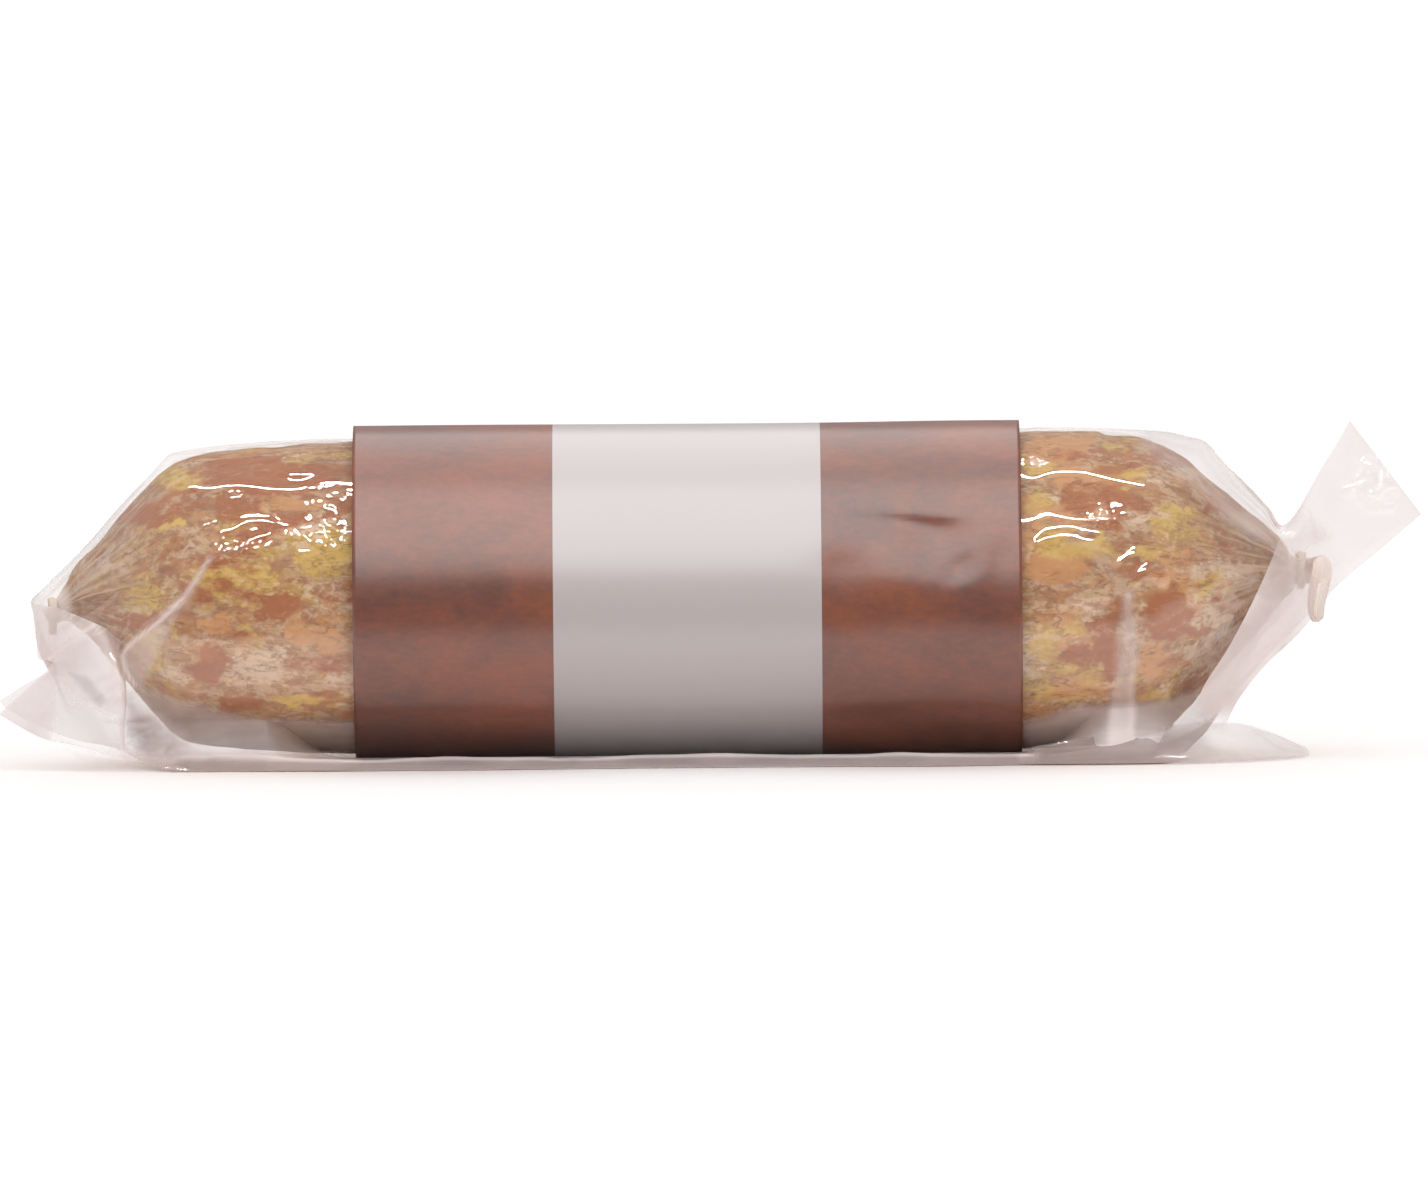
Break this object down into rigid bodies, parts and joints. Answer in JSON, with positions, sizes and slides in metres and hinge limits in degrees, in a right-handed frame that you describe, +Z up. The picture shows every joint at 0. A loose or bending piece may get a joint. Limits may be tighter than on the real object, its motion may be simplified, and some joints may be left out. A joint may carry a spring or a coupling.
{
  "type": "cured sausage in clear film",
  "caption": "Small cured sausage with pleated, tied ends, rolled in clear film whose ends are flattened into tails, with a printed paper band round its middle.",
  "frame": {"origin": "centre of the bounding box on the plane that the sausage lies on", "axes": "+X along the sausage towards the end whose film tail stands up, -Y out of the band's printed front, +Z up"},
  "size_m": [0.1935, 0.046, 0.0464],
  "materials": {
    "sausage": "dry natural casing with patches of yellow and white bloom over red-brown meat, lengthwise wrinkles",
    "twine": "undyed cotton twine",
    "film": "thin clear film, glossy and wrinkled, hazy where it lies in several layers",
    "paper": "coated paper printed mottled brown, with a bare pale grey panel at the front"
  },
  "bodies": {
    "root": {"sausage": "sausage", "left_end_tie": "twine", "right_end_tie": "twine", "film_wrap": "film", "paper_band": "paper"}
  },
  "joints": []
}
